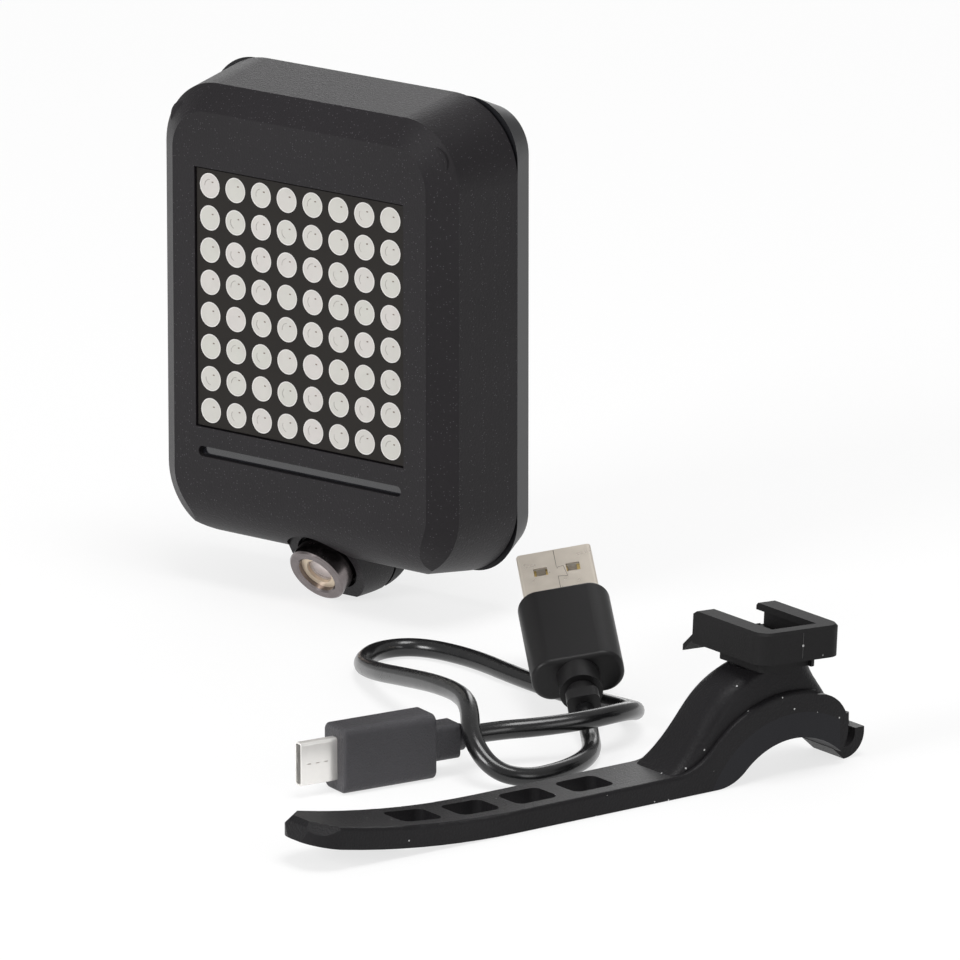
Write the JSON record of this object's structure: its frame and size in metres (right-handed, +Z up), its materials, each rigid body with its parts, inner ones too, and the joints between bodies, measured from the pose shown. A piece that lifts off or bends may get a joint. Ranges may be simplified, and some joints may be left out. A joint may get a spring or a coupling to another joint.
{
  "type": "bicycle tail light",
  "caption": "Rectangular dot-matrix bicycle tail light with a laser spot below it, its rubber strap mount with a slide-in bracket, and a short USB charging cable.",
  "frame": {"origin": "The middle of the small flat under the laser housing that the light stands on, which is also the floor that the strap mount and the cable lie on.", "axes": "+X is left to right as the light's face is seen, +Y runs from the face to the back of the light, +Z is up. The light's face looks along -Y."},
  "size_m": [0.1562, 0.1381, 0.0857],
  "materials": {
    "case_black": "fine grained satin",
    "cover_black": "satin",
    "seal_black": "matte",
    "screw_steel": "zinc plated",
    "module_black": "dull brownish black",
    "dot_milky": "milky diffused resin",
    "pin_tin": "tinned",
    "bar_black": "glossy smoked",
    "led_white": "resin",
    "board_green": "solder mask",
    "chip_black": "moulded epoxy",
    "battery_blue": "shrink sleeve",
    "foam_grey": "foam",
    "switch_black": "moulded",
    "plunger_brown": "moulded",
    "button_rubber": "matte",
    "socket_steel": "tin plated",
    "laser_chrome": "black nickel",
    "ring_brass": "satin",
    "lens_glass": "clear",
    "diode_brass": "satin",
    "strap_rubber": "matte moulded",
    "pad_rubber": "matte moulded, softer",
    "bracket_black": "speckled charcoal",
    "insert_brass": "knurled",
    "plug_steel": "warm nickel plate",
    "insulator_white": "moulded",
    "contact_gold": "gold flash",
    "grip_black": "satin moulded",
    "micro_black": "finely textured",
    "cord_black": "glossy jacket"
  },
  "bodies": {
    "base": {"front_shell": "case_black", "rear_cover": "cover_black", "case_seal": "seal_black", "case_screws": "screw_steel", "led_matrix_body": "module_black", "led_dots": "dot_milky", "led_matrix_pins": "pin_tin", "indicator_bar": "bar_black", "status_leds": "led_white", "main_board": "board_green", "board_chips": "chip_black", "battery_cell": "battery_blue", "battery_pad": "foam_grey", "tact_switch": "switch_black", "usb_socket": "socket_steel", "flap_anchor": "button_rubber", "laser_tube": "laser_chrome", "laser_ring": "ring_brass", "laser_lens": "lens_glass", "laser_diode": "diode_brass", "laser_seal": "seal_black", "laser_board": "board_green", "rubber_strap": "strap_rubber", "saddle_pad": "pad_rubber", "swivel_screw": "screw_steel", "swivel_insert": "insert_brass", "usb_a_shell": "plug_steel", "usb_a_insulator": "insulator_white", "usb_a_contacts": "contact_gold", "usb_a_grip": "grip_black", "usb_a_relief": "grip_black", "micro_shell": "plug_steel", "micro_tongue": "switch_black", "micro_contacts": "contact_gold", "micro_grip": "micro_black", "micro_relief": "micro_black", "charge_cord": "cord_black"},
    "button": {"power_button": "button_rubber", "switch_plunger": "plunger_brown"},
    "flap": {"usb_flap": "button_rubber"},
    "bracket_body": {"bracket": "bracket_black"},
    "latch": {"release_latch": "bracket_black"}
  },
  "joints": [
    {"name": "button_press", "type": "slide", "parent": "base", "child": "button", "axis": [1, 0, 0], "range_m": [0, 0.0004], "stiffness_N_per_m": 800, "springref_m": -0.001},
    {"name": "flap_hinge", "type": "hinge", "parent": "base", "child": "flap", "pos_m": [-0.03055, -0.00326, 0.03093], "axis": [0, -1, 0], "range_deg": [0, 100]},
    {"name": "bracket_swivel", "type": "hinge", "parent": "base", "child": "bracket_body", "pos_m": [0.114, -0.037, 0.0188], "axis": [0.0135, 0.0506, 0.9986], "range_deg": [-90, 90]},
    {"name": "latch_bend", "type": "hinge", "parent": "bracket_body", "child": "latch", "pos_m": [0.11082, -0.0361, 0.0196], "axis": [-0.2585, -0.9646, 0.0523], "range_deg": [0, 16], "stiffness_Nm_per_rad": 0.12}
  ]
}
